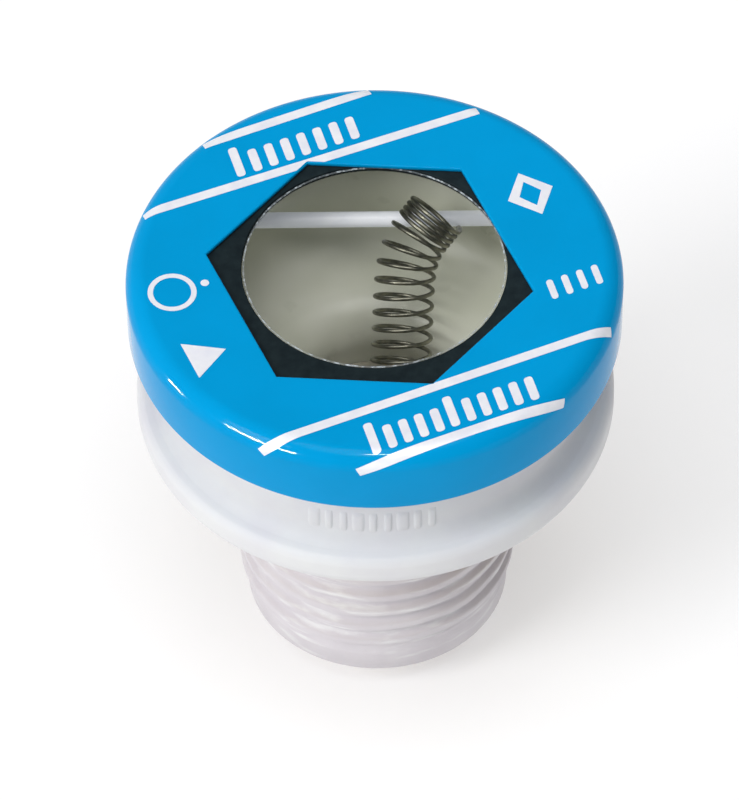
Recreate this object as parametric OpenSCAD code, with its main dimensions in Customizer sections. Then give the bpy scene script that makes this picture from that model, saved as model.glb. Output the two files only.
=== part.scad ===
// Screw-in plug fuse with a rejection base: a small glazed plug with a painted cap, a hexagonal
// opening over a round window, and a spring that pulls a soldered pin out of its cup on overload.
// The origin is the middle of the centre contact's lower face, on the screw axis. +Z points to the cap.

/* [Cap] */
// Outside diameter of the cap
cap_d = 29.5; // [29.2:0.1:30.5]
// Height of the cap's skirt
cap_h = 4.65; // [4.4:0.05:5.2]
// Radius of the cap's rounded top edge
cap_edge_r = 1.2; // [0.8:0.1:1.4]
// Thickness of the cap's sheet steel
cap_sheet = 0.35; // [0.25:0.05:0.4]
// Distance from the middle of the cap's hexagonal opening to its corners
hex_size = 9.6; // [9.4:0.05:9.8]
// Turn of the hexagon, from a corner on +X
hex_turn = -7.2; // [-30:0.1:30]

/* [Window] */
// Diameter of the round hole in the black washer
window_d = 15.72; // [15:0.1:16]
// How far the window sits off centre, towards the cross bar
window_shift = 0.5; // [0:0.1:0.6]
// Thickness of the black washer
washer_t = 0.5; // [0.4:0.05:0.6]
// Thickness of the clear pane under the washer
pane_t = 0.6; // [0.5:0.05:0.7]
// Thickness of the gasket under the pane
gasket_t = 0.3; // [0.2:0.05:0.4]

/* [Body] */
// Diameter of the neck between the cap and the flange
neck_d = 25.2; // [24.8:0.1:25.3]
// Height of the neck
neck_h = 4.85; // [4.6:0.05:5.2]
// Diameter of the flange
flange_d = 28.2; // [28:0.1:28.6]
// Height of the flange
flange_h = 2.9; // [2.7:0.1:3.2]
// Length of the base below the flange
base_l = 15.8; // [15.6:0.1:16.6]
// Diameter of the wide upper part of the cavity
cavity_d = 22.6; // [22.2:0.1:22.8]
// Diameter of the well in the base
well_d = 9.6; // [9.2:0.1:10]
// Number of plain raised marks moulded on the neck
neck_marks = 9; // [1:1:12]

/* [Thread] */
// Crest diameter of the base thread
thread_d = 16.6; // [16.4:0.1:16.8]
// Pitch of the base thread
thread_pitch = 1.4; // [1.3:0.05:1.5]
// Depth of the base thread
thread_depth = 0.28; // [0.24:0.02:0.3]
// Diameter of the smooth pilot at the end of the base
pilot_d = 15.7; // [15.5:0.1:15.8]
// Length of the pilot
pilot_h = 1.7; // [1.4:0.1:1.8]

/* [Contacts] */
// Diameter of the centre contact
contact_d = 8.8; // [8:0.1:9.4]
// How far the centre contact stands out of the base
contact_h = 2.3; // [2:0.1:2.6]
// Outside diameter of the side contact ring
ring_d = 26; // [25.6:0.1:26.2]
// Thickness of the side contact ring
ring_t = 0.45; // [0.35:0.05:0.5]
// Angle by which each spring tongue stands down at rest
tongue_droop = 9; // [6:0.5:10]

/* [Trip] */
// Diameter of the cross bar that holds the spring
bar_d = 0.95; // [0.8:0.05:1]
// Outside diameter of the spring
spring_d = 3.7; // [3.5:0.02:3.72]
// Diameter of the spring wire
wire_d = 0.26; // [0.24:0.02:0.3]
// Diameter of the pin that is soldered into the cup
pin_d = 1.4; // [1.2:0.1:1.5]
// Outside diameter of the solder cup
cup_d = 4.6; // [4.4:0.1:5]
// Height of the solder cup
cup_h = 3.6; // [3.4:0.1:3.8]

/* [Hidden] */
$fn = 96;

// Radii
cap_r = cap_d / 2;
window_r = window_d / 2;
neck_r = neck_d / 2;
flange_r = flange_d / 2;
cavity_r = cavity_d / 2;
well_r = well_d / 2;
thread_r = thread_d / 2;
core_r = thread_r - thread_depth;
pilot_r = pilot_d / 2;
contact_r = contact_d / 2;
ring_r = ring_d / 2;

// Heights above the centre contact's lower face, from the bottom up
base_z = contact_h;
flange_z = base_z + base_l;
neck_z = flange_z + flange_h;
cap_z = neck_z + neck_h;
top_z = cap_z + cap_h;
cap_under_z = top_z - cap_sheet;
washer_z = cap_under_z - washer_t;
pane_z = washer_z - pane_t;
gasket_z = pane_z - gasket_t;
head_z = cap_z + 0.55;          // the lower face of the head, which the cap is crimped under
head_r = cap_r - cap_sheet - 0.15;

// Cap
crimp_r = cap_r - 1.35;         // how far in the crimped edge reaches
skirt_taper = 0.05;
hex_middle = [-0.28, -0.25];    // the opening is stamped off centre and a little out of true
hex_shares = [1.018, 1.01, 0.974];      // distance of each pair of opposite corners, as a share of hex_size
hex_leans = [-1.9, 2.6, 0];     // how far each pair of opposite corners is turned out of true, in degrees

// Window stack
boss_gap = 0.08;                // clearance of the pane's raised middle in the washer
boss_chamfer = 0.25;
washer_r = cap_r - cap_edge_r - 0.05;
seat_r = head_r - 0.2;

// Body
cove_r = 1.4;                   // hollow between the neck and the flange's rim
cove_up = 0.75;                 // from the neck's lower end up to the middle of that hollow
rim_drop = 1.23;                // from the neck's lower end down to the middle of the rim's upper rounding
flange_edge_top = 0.68;
flange_edge_low = 1;
bowl_z = flange_z + 0.9;        // height of the bowl-shaped floor of the wide cavity
lip_r = 7.2;                    // where the bowl turns over into the well
lip_z = bowl_z + 1.3;
lip_drop = 2.7;                 // how far the lip runs down into the well
bowl_h = 2.7;                   // how far the bowl rises from the lip to the cavity's wall
floor_z = base_z + 3.2;         // bottom of the well
mark_step = 4;                  // degrees between the marks on the neck
mark_size = [0.5, 0.5, 1.8];
mark_out = 0.1;
mark_z = neck_z + 0.25;

// Thread
thread_low = base_z + pilot_h + 0.5;
thread_high = flange_z - 1.6;
thread_turns = (thread_high - thread_low) / thread_pitch;
thread_steps = 30;              // flats in one turn
fade_turns = 0.25;              // the ridge grows to full height over this much of a turn

// Cross bar, which lies across the far side of the cavity
bar_y = 8.6;
bar_z = top_z - 5.5;
bar_half = 7.7;
bar_slot = bar_d + 0.06;

// Spring: a tight bunch of turns hangs on the near side of the bar, and the rest runs down to the pin
wire_r = wire_d / 2;
coil_r = spring_d / 2 - wire_r;
bunch_gap = 0.1;                // between the bar and the outside of the bunch
bunch_reach = spring_d / 2 + bar_d / 2 + bunch_gap;
bunch_x = 3.3;
lean = 47;                      // how far the bunch stands forward of straight above the bar, in degrees
bar_middle = [bunch_x, bar_y, bar_z];
bar_to_bunch = [0, -sin(lean), cos(lean)];
bunch = bar_middle + bunch_reach * bar_to_bunch;
upper_way = -unit([0.63, 0.471, 0.602]);    // the way the spring runs through the bunch
lower_way = unit([-0.05, -0.61, -0.79]);    // the way it runs further down
bend = 4.6;                     // length over which it turns from the one way into the other
tight_pitch = wire_d + 0.09;
open_pitch = 0.97;
bunch_turns = 4.05;
open_turns = 10;
bunch_foot = bunch + upper_way * bunch_turns * tight_pitch / 2;
upper_across = unit(cross(upper_way, [1, 0, 0]));
start_angle = 90 + atan2(-bar_to_bunch * cross(upper_way, upper_across), -bar_to_bunch * upper_across);
hook_gap = 0.09;                // between the wire of a hook and what it holds
hook_step = 20;                 // degrees between the rings of a hook
spring_steps = 16;
spring_sides = 6;

// Thermal cut-out
disc_t = 0.6;
flare_t = 0.4;
heater_t = 0.2;
heater_gap = 0.7;
heater_w = 1.4;
flare_z = floor_z + disc_t;
heater_z = flare_z + flare_t;
cup_z = heater_z + 2 * heater_t + heater_gap;
cup_wall = 0.55;
cup_floor = 0.5;
pellet_h = cup_h - cup_floor - 0.4;
pin_fit = 0.05;
pin_r = pin_d / 2;
pin_z = cup_z + cup_floor + 0.4;
eye_x = 0.6;
eye_z = flange_z - 1.3;
eye_size = [2.6, 0.6, 2.4];
eye_hole_r = 0.4;
eye_hole = [eye_x + 0.4, 0, eye_z + 0.5];
eye_hook_z = eye_hole.z + 0.55; // middle of the hook through the eye
eye_hook_r = 0.6;
liner_top = flange_z - 1.6;

// Side contact, rivet and link
rivet_y = -10.2;
rivet_r = 0.6;
rivet_head_r = 1.05;
rivet_head_t = 0.45;
rivet_fit = 0.05;
rivet_room = 0.12;              // between the rivet's head and the pocket it stands in
head_room = 4;                  // height of that pocket, which is open at the top
terminal_z = bowl_z + 2.4;
terminal_t = 0.35;
terminal_end = -6.2;
link_t = 0.25;
link_w = 1.8;
link_top = terminal_z + terminal_t;
link_low = eye_z - 1.6;
neck_hole_r = 0.5;              // notches that make the link's weak spots
tongue_x = 10.7;
tongue_w = 2.1;
tongue_l = 7;
tongue_t = 0.35;
slot_gap = 0.15;
ring_z = flange_z - ring_t;
ring_hole_r = thread_r + 0.5;

// Points of an arc about c, from angle a to angle b
function arc(c, r, a, b, n = 10) =
    [for (i = [0:n]) c + r * [cos(a + (b - a) * i / n), sin(a + (b - a) * i / n)]];

// Points of the cavity floor: up over the rounded lip of the well, then up the bowl to the cavity wall
function bowl_points(n = 7) = concat(
    [for (i = [0:n]) [
        lip_r - (lip_r - well_r) * cos(90 * i / n),
        lip_z - lip_drop * (1 - sin(90 * i / n))
    ]],
    [for (i = [1:n]) [
        lip_r + (cavity_r - lip_r) * sin(90 * i / n),
        lip_z + bowl_h * (1 - cos(90 * i / n))
    ]]
);

// Corners of the cap's opening
function hex_corners() = [for (i = [0:5]) let (
    r = hex_size * hex_shares[i % 3],
    a = hex_turn + 60 * i + hex_leans[i % 3]
) hex_middle + r * [cos(a), sin(a)]];

function unit(v) = v / norm(v);

// Faces of a closed tube of rings with a flat cap at each end
function tube_faces(rings, sides) = concat(
    [[for (j = [0:sides - 1]) sides - 1 - j]],
    [for (i = [0:rings - 2], j = [0:sides - 1]) let (k = (j + 1) % sides)
        [i * sides + j, i * sides + k, (i + 1) * sides + k, (i + 1) * sides + j]],
    [[for (j = [0:sides - 1]) (rings - 1) * sides + j]]
);

// The painted steel cap, with its rounded top edge and the lower edge crimped under the head
module cap_shell() {
    outer = cap_r;
    inner = cap_r - cap_sheet;
    color([0.0, 0.6, 0.85])
    difference() {
        rotate_extrude()
        polygon(concat(
            [[0, cap_under_z], [0, top_z]],
            arc([outer - cap_edge_r, top_z - cap_edge_r], cap_edge_r, 90, 0),
            arc([outer - skirt_taper - cap_sheet, cap_z + cap_sheet], cap_sheet, 0, -90, 5),
            [[crimp_r, cap_z], [crimp_r, cap_z + cap_sheet], [inner - skirt_taper, cap_z + cap_sheet]],
            arc([outer - cap_edge_r, top_z - cap_edge_r], cap_edge_r - cap_sheet, 0, 90)
        ));
        translate([0, 0, cap_z])
        linear_extrude(height = cap_h + 1)
        polygon(hex_corners());
    }
}

// The black fibre washer with the round hole, seen through the cap's hexagon
module window_washer() {
    color([0.08, 0.1, 0.11])
    difference() {
        translate([0, 0, washer_z])
        cylinder(h = washer_t, r = washer_r);
        translate([0, window_shift, washer_z - 1])
        cylinder(h = washer_t + 2, r = window_r);
    }
}

// The clear pane, with a raised middle that fills the washer's hole
module window_pane() {
    boss_r = window_r - boss_gap;
    boss_top = cap_under_z - 0.05;
    color([0.85, 0.93, 0.95, 0.35])
    union() {
        translate([0, 0, pane_z])
        cylinder(h = pane_t, r = seat_r);
        translate([0, window_shift, 0])
        rotate_extrude()
        polygon([
            [0, pane_z + pane_t / 2],
            [boss_r, pane_z + pane_t / 2],
            [boss_r, boss_top - boss_chamfer],
            [boss_r - boss_chamfer, boss_top],
            [0, boss_top]
        ]);
    }
}

// The gasket that seals the pane to the body
module window_gasket() {
    color([0.9, 0.88, 0.82])
    difference() {
        translate([0, 0, gasket_z])
        cylinder(h = gasket_t, r = seat_r);
        translate([0, 0, gasket_z - 1])
        cylinder(h = gasket_t + 2, r = cavity_r);
    }
}

// Outline of the moulded body: outside from the head down to the pilot, then up the cavity
function body_outline() = concat(
    [[cavity_r, gasket_z], [head_r, gasket_z], [head_r, head_z], [neck_r, head_z]],
    arc([neck_r + cove_r, neck_z + cove_up], cove_r, 180, 248, 8),
    arc([flange_r - flange_edge_top, neck_z - rim_drop], flange_edge_top, 70, 0, 6),
    arc([flange_r - flange_edge_low, flange_z + flange_edge_low], flange_edge_low, 0, -90, 6),
    [[ring_hole_r - 0.1, flange_z], [ring_hole_r - 0.1, ring_z], [core_r, ring_z]],
    [[core_r, base_z + pilot_h], [pilot_r, base_z + pilot_h], [pilot_r, base_z + 0.25]],
    [[pilot_r - 0.25, base_z], [0, base_z], [0, floor_z], [well_r, floor_z]],
    bowl_points()
);

// One ring of the thread ridge at a fraction u of its turns
function ridge_ring(u) = let (
    turns = u * thread_turns,
    grown = min(1, min(turns, thread_turns - turns) / fade_turns + 0.05),
    crest = core_r + thread_depth * grown,
    z = thread_low + turns * thread_pitch,
    a = 360 * turns,
    root = core_r - 0.25
) [
    for (p = [[root, -0.48], [crest, -0.16], [crest, 0.16], [root, 0.48]])
    [p[0] * cos(a), p[0] * sin(a), z + p[1] * thread_pitch]
];

// The single-start helical ridge of the base thread
module thread_ridge() {
    rings = ceil(thread_turns * thread_steps);
    polyhedron(
        points = [for (i = [0:rings]) each ridge_ring(i / rings)],
        faces = tube_faces(rings + 1, 4),
        convexity = 10
    );
}

// Plain raised marks in a row around the front of the neck
module neck_mark_row() {
    for (i = [0:neck_marks - 1])
    rotate((i - (neck_marks - 1) / 2) * mark_step)
    translate([-mark_size.x / 2, -neck_r - mark_out, mark_z])
    cube(mark_size);
}

// The white moulded body: head, neck, flange, threaded base and stepped cavity
module body() {
    color([0.9, 0.9, 0.93])
    difference() {
        union() {
            rotate_extrude() polygon(body_outline());
            thread_ridge();
            neck_mark_row();
            translate([0, rivet_y, bowl_z])
            cylinder(h = terminal_z - bowl_z, r = rivet_head_r + 0.1);
        }
        // slots that take the ends of the cross bar
        translate([-bar_half - 0.05, bar_y - bar_slot / 2, bar_z - bar_d / 2])
        cube([2 * bar_half + 0.1, bar_slot, gasket_z - bar_z + bar_d]);
        // hole for the eyelet of the centre contact
        translate([0, 0, base_z - 1])
        cylinder(h = floor_z - base_z + 2, r = 1.35);
        // hole for the side rivet, and the pocket that its head and the terminal stand in
        translate([0, rivet_y, ring_z - 1])
        cylinder(h = terminal_z - ring_z + 2, r = rivet_r + rivet_fit);
        translate([0, rivet_y, terminal_z])
        cylinder(h = head_room, r = rivet_head_r + rivet_room);
    }
}

// The white cross bar that the spring hangs on
module anchor_bar() {
    color([0.93, 0.94, 0.95])
    translate([-bar_half, bar_y, bar_z])
    rotate([0, 90, 0])
    cylinder(h = 2 * bar_half, r = bar_d / 2);
}

// Middle line of the spring at a length s below the bunch, bending from upper_way into lower_way
function spring_middle(s) = let (
    left = 1 - max(0, min(1, s / bend)),
    upper = s < 0 ? s : bend / 3 * (1 - left ^ 3)
) bunch_foot + upper_way * upper + lower_way * max(0, s - upper);

// Length below the bunch that the spring reaches after n turns
function spring_length(n) =
    (min(n, bunch_turns) - bunch_turns) * tight_pitch + max(n - bunch_turns, 0) * open_pitch;

// Centre of the wire after n turns
function coil_point(n) = let (
    s = spring_length(n),
    along = unit(spring_middle(s + 0.01) - spring_middle(s - 0.01)),
    across = unit(cross(along, [1, 0, 0])),
    a = 360 * n + start_angle
) spring_middle(s) + coil_r * (cos(a) * across + sin(a) * cross(along, across));

// Way of the wire after n turns
function coil_way(n) = unit(coil_point(n + 0.01) - coil_point(n - 0.01));

// Point and way at angle a of a ring about c that starts on u and turns towards v
function ring_point(c, r, u, v, a) = c + r * (cos(a) * u + sin(a) * v);
function ring_way(u, v, a) = cos(a) * v - sin(a) * u;

// Points between p and q on a smooth curve that leaves p along u and reaches q along v
function join_points(p, u, q, v, pull, n) = [for (i = [1:n - 1]) let (t = i / n)
    p * (2 * t ^ 3 - 3 * t ^ 2 + 1) + u * pull * (t ^ 3 - 2 * t ^ 2 + t)
    + q * (3 * t ^ 2 - 2 * t ^ 3) + v * pull * (t ^ 3 - t ^ 2)];

// Points of the whole wire: the hook behind the bar, the turns, and the hook through the pin's eye
function wire_points() = let (
    under = [0, -cos(lean), -sin(lean)],
    bar_hook = [bunch_x + 1.75, bar_y, bar_z],
    bar_hook_r = bar_d / 2 + wire_r + hook_gap,
    bar_end = 60,
    eye_hook = [eye_hole.x, 0, eye_hook_z],
    up = [0, 0, 1],
    near = [0, -1, 0],
    eye_end = -10,
    turns = bunch_turns + open_turns,
    rings = ceil(turns * spring_steps)
) concat(
    [for (a = [bar_end + 140:-hook_step:bar_end]) ring_point(bar_hook, bar_hook_r, bar_to_bunch, under, a)],
    join_points(
        ring_point(bar_hook, bar_hook_r, bar_to_bunch, under, bar_end),
        -ring_way(bar_to_bunch, under, bar_end),
        coil_point(0), coil_way(0.02), 2.2, 8
    ),
    [for (i = [0:rings]) coil_point(turns * i / rings)],
    join_points(
        coil_point(turns), coil_way(turns - 0.02),
        ring_point(eye_hook, eye_hook_r, up, near, eye_end), ring_way(up, near, eye_end), 2.4, 10
    ),
    [for (a = [eye_end:hook_step:eye_end + 240]) ring_point(eye_hook, eye_hook_r, up, near, a)]
);

// Way of a path at each of its points
function path_ways(path) = let (last = len(path) - 1)
    [for (i = [0:last]) unit(path[min(last, i + 1)] - path[max(0, i - 1)])];

// A sideways direction at each point of a path, carried along it without twisting
function carried_sides(ways) = [
    for (
        i = 0, side = unit(cross(ways[0], [0.3, 0.6, 0.75]));
        i < len(ways);
        i = i + 1, side = i < len(ways) ? unit(side - (side * ways[i]) * ways[i]) : side
    )
    side
];

// The trip spring, hooked behind the bar and through the eye of the pin
module trip_spring() {
    path = wire_points();
    ways = path_ways(path);
    sides = carried_sides(ways);
    color([0.42, 0.43, 0.38])
    polyhedron(
        points = [for (i = [0:len(path) - 1], j = [0:spring_sides - 1])
            ring_point(path[i], wire_r, sides[i], cross(ways[i], sides[i]), 360 * j / spring_sides)],
        faces = tube_faces(len(path), spring_sides),
        convexity = 20
    );
}

// The pin that the solder holds, with a flat eye for the spring
module trip_pin() {
    color([0.72, 0.55, 0.28])
    difference() {
        union() {
            translate([0, 0, pin_z])
            cylinder(h = eye_z - pin_z, r = pin_r);
            translate([eye_x - eye_size.x / 2, -eye_size.y / 2, eye_z - eye_size.z / 2])
            cube(eye_size);
        }
        translate([eye_hole.x, 2, eye_hole.z])
        rotate([90, 0, 0])
        cylinder(h = 4, r = eye_hole_r);
    }
}

// Side view of the bent link, from the terminal down to the pin
function link_outline() = [
    [terminal_end - 0.9, link_top],
    [terminal_end + 1.6, link_top],
    [-pin_r - 0.7, link_low + 0.6],
    [-pin_r - 0.1, link_low],
    [-pin_r - 0.1, link_low + 0.45],
    [-pin_r - 0.6, link_low + 0.95],
    [terminal_end + 1.7, link_top + link_t],
    [terminal_end - 0.9, link_top + link_t]
];

// The zinc link that melts on a short circuit
module fuse_link() {
    color([0.7, 0.72, 0.74])
    difference() {
        translate([link_w / 2, 0, 0])
        rotate([90, 0, -90])
        linear_extrude(height = link_w)
        polygon([for (p = link_outline()) [-p[0], p[1]]]);
        for (side = [-1, 1])
        translate([side * link_w / 2, terminal_end + 0.8, link_top - 1])
        cylinder(h = 3, r = neck_hole_r);
    }
}

// The brass terminal inside, held by the side rivet
module link_terminal() {
    color([0.8, 0.65, 0.3])
    difference() {
        union() {
            translate([0, rivet_y, terminal_z])
            cylinder(h = terminal_t, r = rivet_head_r);
            translate([-rivet_head_r, rivet_y, terminal_z])
            cube([2 * rivet_head_r, terminal_end - rivet_y, terminal_t]);
        }
        translate([0, rivet_y, terminal_z - 1])
        cylinder(h = terminal_t + 2, r = rivet_r + rivet_fit);
    }
}

// The solder that joins the link to the terminal
module link_solder() {
    color([0.75, 0.76, 0.78])
    translate([0, terminal_end - 0.45, link_top + link_t])
    cylinder(h = 0.3, r1 = 0.75, r2 = 0.4);
}

// The brass cup of the thermal cut-out
module solder_cup() {
    color([0.8, 0.62, 0.3])
    difference() {
        translate([0, 0, cup_z])
        cylinder(h = cup_h, r = cup_d / 2);
        translate([0, 0, cup_z + cup_floor])
        cylinder(h = cup_h, r = cup_d / 2 - cup_wall);
    }
}

// The low-melting solder that fills the cup around the pin
module solder_pellet() {
    color([0.66, 0.67, 0.7])
    difference() {
        translate([0, 0, cup_z + cup_floor])
        cylinder(h = pellet_h, r = cup_d / 2 - cup_wall);
        translate([0, 0, pin_z - 0.05])
        cylinder(h = cup_h, r = pin_r + pin_fit);
    }
}

// The folded resistance strip between the centre contact and the cup
module heater_strip() {
    left = -cup_d / 2 - 0.4;
    right = cup_d / 2 - 0.6;
    upper_z = heater_z + heater_t + heater_gap;
    color([0.55, 0.5, 0.45])
    translate([0, heater_w / 2, 0])
    rotate([90, 0, 0])
    linear_extrude(height = heater_w)
    polygon([
        [right, heater_z],
        [left, heater_z],
        [left, cup_z],
        [right, cup_z],
        [right, upper_z],
        [left + heater_t, upper_z],
        [left + heater_t, heater_z + heater_t],
        [right, heater_z + heater_t]
    ]);
}

// The fibre disc under the cut-out
module insulating_disc() {
    color([0.62, 0.5, 0.38])
    difference() {
        translate([0, 0, floor_z])
        cylinder(h = disc_t, r = well_r - 0.1);
        translate([0, 0, floor_z - 1])
        cylinder(h = disc_t + 2, r = 1.35);
    }
}

// The fibre tube that lines the well
module well_liner() {
    color([0.62, 0.5, 0.38])
    difference() {
        translate([0, 0, flare_z])
        cylinder(h = liner_top - flare_z, r = well_r - 0.1);
        translate([0, 0, flare_z - 1])
        cylinder(h = liner_top, r = well_r - 0.5);
    }
}

// The brass centre contact, with the hollow shank that is flared inside the well
module centre_contact() {
    edge = 0.4;
    color([0.83, 0.68, 0.32])
    rotate_extrude()
    polygon(concat(
        [[1.7, 0]],
        arc([contact_r - edge, edge], edge, -90, 0, 5),
        [[contact_r, contact_h], [1.3, contact_h], [1.3, flare_z], [2.2, flare_z]],
        [[2.2, heater_z], [0.7, heater_z], [0.7, 0.6], [1.7, 0.6]]
    ));
}

// The drop of solder that closes the centre contact
module centre_solder() {
    color([0.78, 0.79, 0.81])
    rotate_extrude()
    polygon(concat(
        [[0, 2.6], [0.7, 2.6], [0.7, 0.6], [1.6, 0.6]],
        arc([0, 2.9], 2.75, -58, -90, 6)
    ));
}

// The brass ring under the flange, with a slot for each spring tongue
module side_contact() {
    slot_l = tongue_l + 2 * slot_gap;
    slot_w = tongue_w + 2 * slot_gap;
    color([0.82, 0.67, 0.33])
    difference() {
        translate([0, 0, ring_z])
        cylinder(h = ring_t, r = ring_r);
        translate([0, 0, ring_z - 1])
        cylinder(h = ring_t + 2, r = ring_hole_r);
        for (side = [-1, 1])
        translate([side * tongue_x - slot_w / 2, -slot_l / 2, ring_z - 1])
        cube([slot_w, slot_l, ring_t + 2]);
        // countersunk hole, so that the rivet lies flush with the ring
        translate([0, rivet_y, ring_z])
        cylinder(h = ring_t, r1 = rivet_head_r + rivet_fit, r2 = rivet_r + rivet_fit);
    }
}

// One spring tongue of the side contact: its root is at y = -tongue_l / 2 and it droops to its tip
module tongue() {
    color([0.86, 0.7, 0.36])
    translate([tongue_x, -tongue_l / 2, ring_z + ring_t / 2])
    rotate([-tongue_droop, 0, 0])
    translate([-tongue_w / 2, 0, -tongue_t / 2])
    cube([tongue_w, tongue_l, tongue_t]);
}

module tongue_right() {
    tongue();
}

module tongue_left() {
    rotate(180) tongue();
}

// The countersunk rivet that joins the side contact to the terminal inside
module contact_rivet() {
    high = terminal_z + terminal_t;
    color([0.75, 0.62, 0.35])
    translate([0, rivet_y, 0]) {
        translate([0, 0, ring_z])
        cylinder(h = ring_t, r1 = rivet_head_r, r2 = rivet_r);
        translate([0, 0, ring_z])
        cylinder(h = high - ring_z, r = rivet_r);
        translate([0, 0, high])
        cylinder(h = rivet_head_t, r1 = rivet_head_r, r2 = rivet_r);
    }
}

cap_shell();
window_washer();
window_pane();
window_gasket();
body();
anchor_bar();
trip_spring();
trip_pin();
fuse_link();
link_terminal();
link_solder();
solder_cup();
solder_pellet();
heater_strip();
insulating_disc();
well_liner();
centre_contact();
centre_solder();
side_contact();
tongue_left();
tongue_right();
contact_rivet();
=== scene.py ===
"""A screw-in plug fuse with a painted cap, a round window and a threaded rejection base."""

import math

import bmesh
import bpy
import numpy as np
from mathutils import Matrix, Vector, noise


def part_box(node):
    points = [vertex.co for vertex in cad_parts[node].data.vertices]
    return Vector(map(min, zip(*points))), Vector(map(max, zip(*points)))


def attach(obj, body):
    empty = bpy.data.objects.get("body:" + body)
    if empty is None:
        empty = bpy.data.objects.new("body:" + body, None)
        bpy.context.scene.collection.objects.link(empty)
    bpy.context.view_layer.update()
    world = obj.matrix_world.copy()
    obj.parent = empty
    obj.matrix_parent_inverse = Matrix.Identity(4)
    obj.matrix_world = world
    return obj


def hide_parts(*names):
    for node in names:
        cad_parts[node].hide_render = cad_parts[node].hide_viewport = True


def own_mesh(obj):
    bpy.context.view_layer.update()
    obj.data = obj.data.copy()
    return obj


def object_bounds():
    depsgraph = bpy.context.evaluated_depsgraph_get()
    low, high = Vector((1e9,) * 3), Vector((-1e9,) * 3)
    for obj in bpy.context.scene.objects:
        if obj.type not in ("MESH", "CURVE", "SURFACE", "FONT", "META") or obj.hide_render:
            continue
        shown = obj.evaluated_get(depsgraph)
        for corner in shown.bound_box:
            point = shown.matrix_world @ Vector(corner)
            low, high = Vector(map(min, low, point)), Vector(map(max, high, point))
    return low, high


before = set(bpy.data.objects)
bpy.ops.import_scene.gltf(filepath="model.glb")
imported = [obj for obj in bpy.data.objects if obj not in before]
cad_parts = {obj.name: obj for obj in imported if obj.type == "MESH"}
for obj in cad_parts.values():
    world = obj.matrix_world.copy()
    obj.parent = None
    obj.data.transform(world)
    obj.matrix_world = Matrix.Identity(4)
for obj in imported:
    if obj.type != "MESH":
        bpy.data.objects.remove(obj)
CAD_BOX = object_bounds()

MM = 0.001                      # all shapes below are in millimetres, in the CAD model's frame
SKIN = 0.02                     # how far the paint lies inside the CAD cap, to leave room for the print


def node_box(name):
    """Lowest and highest corner of a CAD node in millimetres."""
    low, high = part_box(name)
    return low / MM, high / MM


CAP_LOW, CAP_HIGH = node_box("cap_shell")
BODY_LOW, BODY_HIGH = node_box("body")
WASHER_LOW, WASHER_HIGH = node_box("window_washer")
PANE_LOW, PANE_HIGH = node_box("window_pane")
BAR_LOW, BAR_HIGH = node_box("anchor_bar")
RING_LOW, RING_HIGH = node_box("side_contact")

TOP_Z = CAP_HIGH.z
CAP_R = CAP_HIGH.x - SKIN
CAP_EDGE_R = 1.2                # rounding of the cap's upper edge
CAP_SHEET = 0.35                # thickness of the cap's metal
CAP_CURL = 1.0                  # how far the skirt's crimped edge reaches in under the head
HEX_MIDDLE = Vector((-0.28, -0.25))     # the opening is stamped off centre and a little out of true
HEX_SIDES = 6
HEX_SIZE = 9.6                  # from its middle to a true corner
HEX_TURN = -7.2
HEX_SHARES = (1.018, 1.01, 0.974)       # how far out of true its corners lie, as shares of that size
HEX_LEANS = (-1.9, 2.6, 0.0)            # and in degrees around it
RIM_R = 0.09                    # rounding of the opening's edge
WINDOW_R = 7.86
WINDOW_SHIFT = 0.5              # how far the window sits off centre, towards the cross bar
NECK_R = 12.6
FLANGE_R = BODY_HIGH.x
CAVITY_R = 11.3
WELL_R = 4.8                    # the hole in the middle of the bowl, which holds the cut-out
THREAD_R = 8.3
THREAD_DEPTH = 0.28
THREAD_PITCH = 1.4
PILOT_R = 7.85                  # the smooth end of the base
PILOT_H = 1.7
BASE_Z = BODY_LOW.z
FLANGE_Z = RING_HIGH.z
NECK_Z = FLANGE_Z + 2.9
BOWL_Z = FLANGE_Z + 0.9
LIP_R = 7.2                     # where the cavity's bowl turns over into the well
LIP_Z = BOWL_Z + 1.3
LIP_RISE = 2.7
FLOOR_Z = BASE_Z + 3.2


# ---------------------------------------------------------------- shapes

EDGE_SHARE = 1 / 2.2            # the most of an edge that one rounded corner may take
SMALLEST_CUT = 0.004
NEARLY_STRAIGHT = math.radians(160)
TIP_SHARE = 0.5                 # length of a tube's pointed end, as a share of its radius


def arc(centre, radius, start, end, steps):
    """Points of an arc in the (r, z) plane, with the angles in degrees."""
    angles = [math.radians(start + (end - start) * i / steps) for i in range(steps + 1)]
    return [(centre[0] + radius * math.cos(a), centre[1] + radius * math.sin(a)) for a in angles]


def soften(points, radius, closed=True):
    """Rounds the corners of a profile."""
    steps = 3
    count = len(points)
    out = []
    for i, point in enumerate(points):
        if not closed and i in (0, count - 1):
            out.append(point)
            continue
        here = Vector(point)
        before = Vector(points[i - 1]) - here
        after = Vector(points[(i + 1) % count]) - here
        cut = min(radius, before.length * EDGE_SHARE, after.length * EDGE_SHARE)
        if cut < SMALLEST_CUT or before.angle(after) > NEARLY_STRAIGHT:
            out.append(point)
            continue
        start = here + before.normalized() * cut
        end = here + after.normalized() * cut
        for k in range(steps + 1):
            t = k / steps
            out.append(tuple(start * (1 - t) ** 2 + here * 2 * t * (1 - t) + end * t * t))
    return out


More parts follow.
